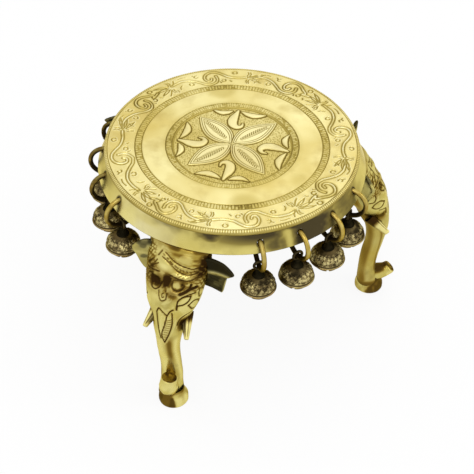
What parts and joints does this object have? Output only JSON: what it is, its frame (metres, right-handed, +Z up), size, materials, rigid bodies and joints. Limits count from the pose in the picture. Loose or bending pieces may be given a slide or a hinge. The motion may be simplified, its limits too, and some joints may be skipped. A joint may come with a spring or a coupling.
{
  "type": "bajot low table",
  "caption": "Low round brass table with an engraved top on three elephant-head legs, and bells that swing on rings around its apron.",
  "frame": {"origin": "centre of the top, level with its plain ring face", "axes": "+Z up through the top, +X towards the right leg, the other legs 120 degrees either way"},
  "size_m": [0.1918, 0.187, 0.128],
  "materials": {
    "top_brass": "polished, engraved, patina in the lines",
    "apron_brass": "polished",
    "leg_brass": "polished with dark patina in the recesses",
    "ring_brass": "worn wire",
    "bell_brass": "dark antique",
    "screw_steel": "satin",
    "pellet_iron": "rough"
  },
  "bodies": {
    "table": {"top_plate": "top_brass", "apron_ring": "apron_brass", "leg_right": "leg_brass", "leg_back": "leg_brass", "leg_front": "leg_brass", "leg_screws": "screw_steel"},
    "ring_01_body": {"ring_01": "ring_brass"},
    "bell_01_body": {"bell_01": "bell_brass", "pellet_01": "pellet_iron"},
    "ring_02_body": {"ring_02": "ring_brass"},
    "bell_02_body": {"bell_02": "bell_brass", "pellet_02": "pellet_iron"},
    "ring_03_body": {"ring_03": "ring_brass"},
    "bell_03_body": {"bell_03": "bell_brass", "pellet_03": "pellet_iron"},
    "ring_04_body": {"ring_04": "ring_brass"},
    "bell_04_body": {"bell_04": "bell_brass", "pellet_04": "pellet_iron"},
    "ring_05_body": {"ring_05": "ring_brass"},
    "bell_05_body": {"bell_05": "bell_brass", "pellet_05": "pellet_iron"},
    "ring_06_body": {"ring_06": "ring_brass"},
    "bell_06_body": {"bell_06": "bell_brass", "pellet_06": "pellet_iron"},
    "ring_07_body": {"ring_07": "ring_brass"},
    "bell_07_body": {"bell_07": "bell_brass", "pellet_07": "pellet_iron"},
    "ring_08_body": {"ring_08": "ring_brass"},
    "bell_08_body": {"bell_08": "bell_brass", "pellet_08": "pellet_iron"},
    "ring_09_body": {"ring_09": "ring_brass"},
    "bell_09_body": {"bell_09": "bell_brass", "pellet_09": "pellet_iron"},
    "ring_10_body": {"ring_10": "ring_brass"},
    "bell_10_body": {"bell_10": "bell_brass", "pellet_10": "pellet_iron"},
    "ring_11_body": {"ring_11": "ring_brass"},
    "bell_11_body": {"bell_11": "bell_brass", "pellet_11": "pellet_iron"},
    "ring_12_body": {"ring_12": "ring_brass"},
    "bell_12_body": {"bell_12": "bell_brass", "pellet_12": "pellet_iron"}
  },
  "joints": [
    {"name": "ring_01_sway", "type": "hinge", "parent": "table", "child": "ring_01_body", "pos_m": [0.06386, -0.03914, -0.008], "axis": [0.8526, -0.5225, 0], "range_deg": [-4, 4]},
    {"name": "bell_01_swing", "type": "hinge", "parent": "ring_01_body", "child": "bell_01_body", "pos_m": [0.06386, -0.03914, -0.0174], "axis": [0.5225, 0.8526, 0], "range_deg": [-22, 15]},
    {"name": "ring_02_sway", "type": "hinge", "parent": "table", "child": "ring_02_body", "pos_m": [0.04865, -0.05696, -0.008], "axis": [0.6494, -0.7604, 0], "range_deg": [-4, 4]},
    {"name": "bell_02_swing", "type": "hinge", "parent": "ring_02_body", "child": "bell_02_body", "pos_m": [0.04865, -0.05696, -0.0174], "axis": [0.7604, 0.6494, 0], "range_deg": [-22, 15]},
    {"name": "ring_03_sway", "type": "hinge", "parent": "table", "child": "ring_03_body", "pos_m": [0.02866, -0.0692, -0.008], "axis": [0.3827, -0.9239, 0], "range_deg": [-4, 4]},
    {"name": "bell_03_swing", "type": "hinge", "parent": "ring_03_body", "child": "bell_03_body", "pos_m": [0.02866, -0.0692, -0.0174], "axis": [0.9239, 0.3827, 0], "range_deg": [-22, 15]},
    {"name": "ring_04_sway", "type": "hinge", "parent": "table", "child": "ring_04_body", "pos_m": [0.00588, -0.07467, -0.008], "axis": [0.0785, -0.9969, 0], "range_deg": [-4, 4]},
    {"name": "bell_04_swing", "type": "hinge", "parent": "ring_04_body", "child": "bell_04_body", "pos_m": [0.00588, -0.07467, -0.0174], "axis": [0.9969, 0.0785, 0], "range_deg": [-22, 15]},
    {"name": "ring_05_sway", "type": "hinge", "parent": "table", "child": "ring_05_body", "pos_m": [-0.0676, -0.03225, -0.008], "axis": [-0.9026, -0.4305, 0], "range_deg": [-4, 4]},
    {"name": "bell_05_swing", "type": "hinge", "parent": "ring_05_body", "child": "bell_05_body", "pos_m": [-0.0676, -0.03225, -0.0174], "axis": [0.4305, -0.9026, 0], "range_deg": [-22, 15]},
    {"name": "ring_06_sway", "type": "hinge", "parent": "table", "child": "ring_06_body", "pos_m": [-0.07426, -0.00978, -0.008], "axis": [-0.9914, -0.1305, 0], "range_deg": [-4, 4]},
    {"name": "bell_06_swing", "type": "hinge", "parent": "ring_06_body", "child": "bell_06_body", "pos_m": [-0.07426, -0.00978, -0.0174], "axis": [0.1305, -0.9914, 0], "range_deg": [-22, 15]},
    {"name": "ring_07_sway", "type": "hinge", "parent": "table", "child": "ring_07_body", "pos_m": [-0.07365, 0.01365, -0.008], "axis": [-0.9833, 0.1822, 0], "range_deg": [-4, 4]},
    {"name": "bell_07_swing", "type": "hinge", "parent": "ring_07_body", "child": "bell_07_body", "pos_m": [-0.07365, 0.01365, -0.0174], "axis": [-0.1822, -0.9833, 0], "range_deg": [-22, 15]},
    {"name": "ring_08_sway", "type": "hinge", "parent": "table", "child": "ring_08_body", "pos_m": [-0.06582, 0.03574, -0.008], "axis": [-0.8788, 0.4772, 0], "range_deg": [-4, 4]},
    {"name": "bell_08_swing", "type": "hinge", "parent": "ring_08_body", "child": "bell_08_body", "pos_m": [-0.06582, 0.03574, -0.0174], "axis": [-0.4772, -0.8788, 0], "range_deg": [-22, 15]},
    {"name": "ring_09_sway", "type": "hinge", "parent": "table", "child": "ring_09_body", "pos_m": [0.00392, 0.0748, -0.008], "axis": [0.0523, 0.9986, 0], "range_deg": [-4, 4]},
    {"name": "bell_09_swing", "type": "hinge", "parent": "ring_09_body", "child": "bell_09_body", "pos_m": [0.00392, 0.0748, -0.0174], "axis": [-0.9986, 0.0523, 0], "range_deg": [-22, 15]},
    {"name": "ring_10_sway", "type": "hinge", "parent": "table", "child": "ring_10_body", "pos_m": [0.02684, 0.06993, -0.008], "axis": [0.3584, 0.9336, 0], "range_deg": [-4, 4]},
    {"name": "bell_10_swing", "type": "hinge", "parent": "ring_10_body", "child": "bell_10_body", "pos_m": [0.02684, 0.06993, -0.0174], "axis": [-0.9336, 0.3584, 0], "range_deg": [-22, 15]},
    {"name": "ring_11_sway", "type": "hinge", "parent": "table", "child": "ring_11_body", "pos_m": [0.04714, 0.05821, -0.008], "axis": [0.6293, 0.7771, 0], "range_deg": [-4, 4]},
    {"name": "bell_11_swing", "type": "hinge", "parent": "ring_11_body", "child": "bell_11_body", "pos_m": [0.04714, 0.05821, -0.0174], "axis": [-0.7771, 0.6293, 0], "range_deg": [-22, 15]},
    {"name": "ring_12_sway", "type": "hinge", "parent": "table", "child": "ring_12_body", "pos_m": [0.06282, 0.04079, -0.008], "axis": [0.8387, 0.5446, 0], "range_deg": [-4, 4]},
    {"name": "bell_12_swing", "type": "hinge", "parent": "ring_12_body", "child": "bell_12_body", "pos_m": [0.06282, 0.04079, -0.0174], "axis": [-0.5446, 0.8387, 0], "range_deg": [-22, 15]}
  ]
}
